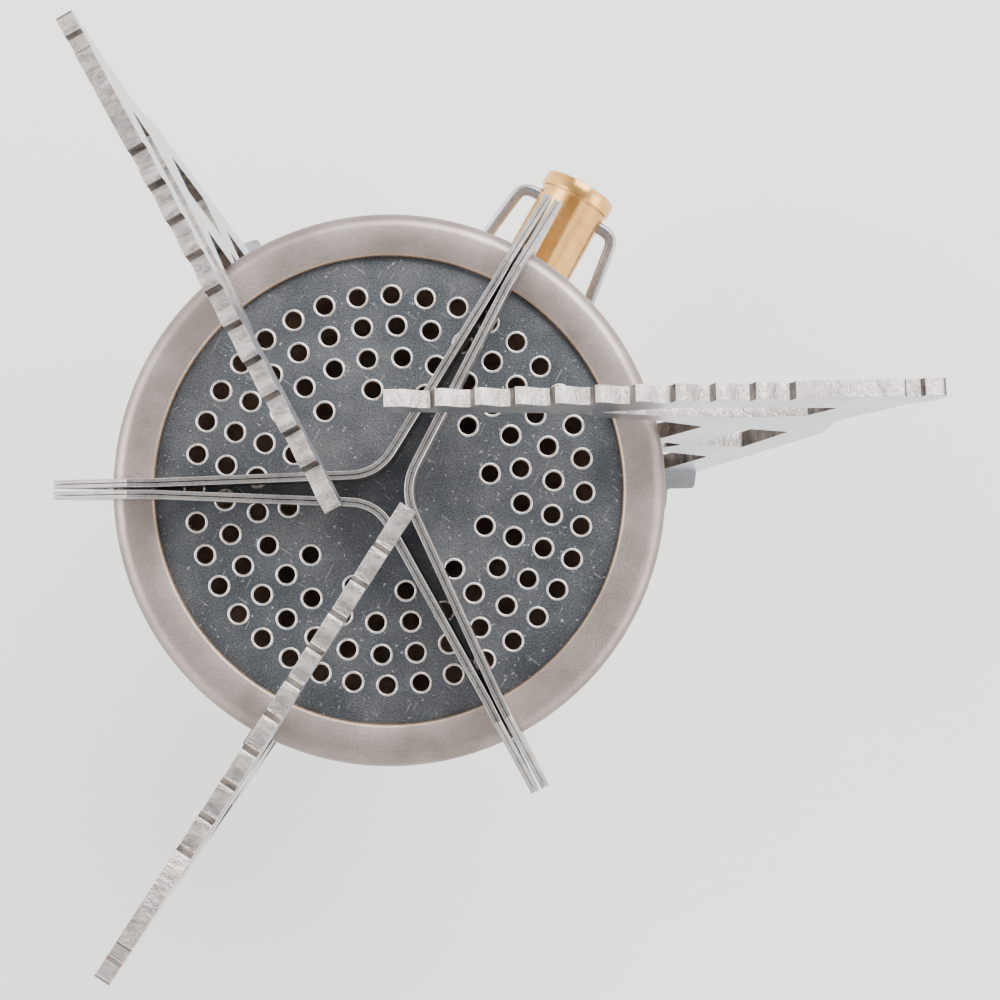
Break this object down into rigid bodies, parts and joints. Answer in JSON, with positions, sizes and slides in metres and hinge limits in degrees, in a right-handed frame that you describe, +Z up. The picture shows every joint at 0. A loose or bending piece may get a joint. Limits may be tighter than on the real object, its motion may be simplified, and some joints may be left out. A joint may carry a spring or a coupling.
{
  "type": "camping stove",
  "caption": "Canister-top gas camping stove with a perforated burner, windshield divider, serrated folding pot supports and a brass valve barrel with a wire bail.",
  "frame": {"origin": "centre of the connector's bottom face, on the canister thread's axis", "axes": "+Z up through the burner; +X along the first pot support, to within 1.2 degrees"},
  "size_m": [0.0929, 0.0977, 0.0882],
  "materials": {
    "titanium": "satin warm grey pressed metal",
    "support_plate": "satin pale grey plate with sheared edges",
    "stainless_steel": "bright satin",
    "burner_steel": "mottled blue grey, finely speckled",
    "brass": "turned satin",
    "alloy": "machined",
    "rubber": "matt black"
  },
  "bodies": {
    "stove_body": {"canister_connector": "alloy", "connector_seal": "rubber", "pin_depressor": "brass", "valve_body": "alloy", "jet_filter": "brass", "gas_jet": "brass", "mixing_tube": "stainless_steel", "support_hub": "stainless_steel", "hub_lock_nut": "alloy", "burner_cup": "titanium", "diffuser": "stainless_steel", "burner_plate": "burner_steel", "rim_ring": "titanium", "divider_blade_1": "stainless_steel", "divider_blade_2": "stainless_steel", "divider_blade_3": "stainless_steel", "support_rivet_1": "stainless_steel", "spring_washer_1": "stainless_steel", "support_rivet_2": "stainless_steel", "spring_washer_2": "stainless_steel", "support_rivet_3": "stainless_steel", "spring_washer_3": "stainless_steel", "spindle_o_ring": "rubber", "gland_nut": "brass"},
    "support_1": {"pot_support_1": "support_plate"},
    "support_2": {"pot_support_2": "support_plate"},
    "support_3": {"pot_support_3": "support_plate"},
    "needle": {"valve_needle": "stainless_steel"},
    "knob": {"control_knob": "brass"},
    "bail": {"bail_handle": "stainless_steel"}
  },
  "joints": [
    {"name": "support_1_swing", "type": "hinge", "parent": "stove_body", "child": "support_1", "pos_m": [0.02952, -0.00088, 0.0425], "axis": [0, 0, -1], "range_deg": [0, 90]},
    {"name": "support_2_swing", "type": "hinge", "parent": "stove_body", "child": "support_2", "pos_m": [-0.0128, 0.02662, 0.0425], "axis": [0, 0, -1], "range_deg": [0, 90]},
    {"name": "support_3_swing", "type": "hinge", "parent": "stove_body", "child": "support_3", "pos_m": [-0.01728, -0.02395, 0.0425], "axis": [0, 0, -1], "range_deg": [0, 90]},
    {"name": "needle_lift", "type": "slide", "parent": "stove_body", "child": "needle", "axis": [0.4924, 0.8704, 0], "range_m": [0, 0.00076]},
    {"name": "knob_turn", "type": "hinge", "parent": "needle", "child": "knob", "pos_m": [0.02191, 0.03873, 0.024], "axis": [0.4924, 0.8704, 0], "range_deg": [0, 540]},
    {"name": "bail_fold", "type": "hinge", "parent": "knob", "child": "bail", "pos_m": [0.02191, 0.03873, 0.024], "axis": [0.8704, -0.4924, 0], "range_deg": [0, 326]}
  ],
  "couplings": [
    {"joint": "needle_lift", "follows": "knob_turn", "m_per_rad": 0.000079577}
  ]
}
